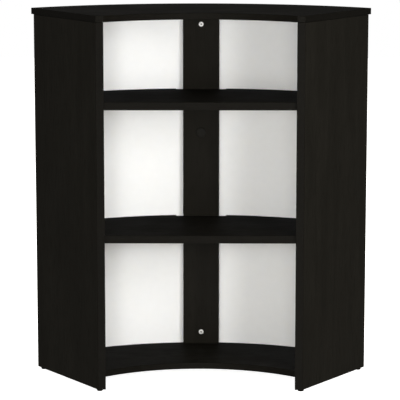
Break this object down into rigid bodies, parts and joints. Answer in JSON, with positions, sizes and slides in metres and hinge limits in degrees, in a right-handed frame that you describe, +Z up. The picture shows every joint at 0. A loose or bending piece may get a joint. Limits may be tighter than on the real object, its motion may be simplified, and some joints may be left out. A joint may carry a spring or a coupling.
{
  "type": "curved counter display unit",
  "caption": "Free-standing curved counter unit of black board with open niches on the user's side, a bowed worktop and bowed white opal front sheets.",
  "frame": {"origin": "on the floor, under the middle of the unit's box", "axes": "+Z up; the user and the open niches are at -Y, the bowed opal front is at +Y; +X is the user's right"},
  "size_m": [0.966, 0.449, 1.048],
  "materials": {
    "black_board": "black melamine on particle board, satin, with a faint upright grain",
    "opal_sheet": "white opal plastic sheet, satin, slightly translucent",
    "nickel_steel": "nickel-plated steel",
    "zinc_casting": "bare zinc die casting",
    "black_plastic": "moulded black plastic, satin",
    "beech": "fluted beech"
  },
  "bodies": {
    "root": {"bottom_shelf": "black_board", "bottom_shelf_cam_bolt_left_far": "nickel_steel", "bottom_shelf_cam_bolt_left_near": "nickel_steel", "bottom_shelf_cam_bolt_right_far": "nickel_steel", "bottom_shelf_cam_bolt_right_near": "nickel_steel", "bottom_shelf_cam_left_far": "zinc_casting", "bottom_shelf_cam_left_near": "zinc_casting", "bottom_shelf_cam_right_far": "zinc_casting", "bottom_shelf_cam_right_near": "zinc_casting", "centre_post": "black_board", "front_cover_strip": "black_board", "glide_left_far": "black_plastic", "glide_left_near": "black_plastic", "glide_right_far": "black_plastic", "glide_right_near": "black_plastic", "left_front_sheet": "opal_sheet", "left_side_panel": "black_board", "lower_post_bolt": "nickel_steel", "lower_sleeve_nut": "nickel_steel", "middle_shelf": "black_board", "middle_shelf_cam_bolt_left_far": "nickel_steel", "middle_shelf_cam_bolt_left_near": "nickel_steel", "middle_shelf_cam_bolt_right_far": "nickel_steel", "middle_shelf_cam_bolt_right_near": "nickel_steel", "middle_shelf_cam_left_far": "zinc_casting", "middle_shelf_cam_left_near": "zinc_casting", "middle_shelf_cam_right_far": "zinc_casting", "middle_shelf_cam_right_near": "zinc_casting", "post_foot_dowel_left": "beech", "post_foot_dowel_right": "beech", "post_hole_cap": "black_plastic", "post_top_dowel_left": "beech", "post_top_dowel_right": "beech", "right_front_sheet": "opal_sheet", "right_side_panel": "black_board", "upper_post_bolt": "nickel_steel", "upper_shelf": "black_board", "upper_shelf_cam_bolt_left_far": "nickel_steel", "upper_shelf_cam_bolt_left_near": "nickel_steel", "upper_shelf_cam_bolt_right_far": "nickel_steel", "upper_shelf_cam_bolt_right_near": "nickel_steel", "upper_shelf_cam_left_far": "zinc_casting", "upper_shelf_cam_left_near": "zinc_casting", "upper_shelf_cam_right_far": "zinc_casting", "upper_shelf_cam_right_near": "zinc_casting", "upper_sleeve_nut": "nickel_steel", "worktop": "black_board", "worktop_cam_bolt_left_far": "nickel_steel", "worktop_cam_bolt_left_near": "nickel_steel", "worktop_cam_bolt_right_far": "nickel_steel", "worktop_cam_bolt_right_near": "nickel_steel", "worktop_cam_left_far": "zinc_casting", "worktop_cam_left_near": "zinc_casting", "worktop_cam_right_far": "zinc_casting", "worktop_cam_right_near": "zinc_casting", "worktop_dowel_left": "beech", "worktop_dowel_right": "beech"}
  },
  "joints": []
}
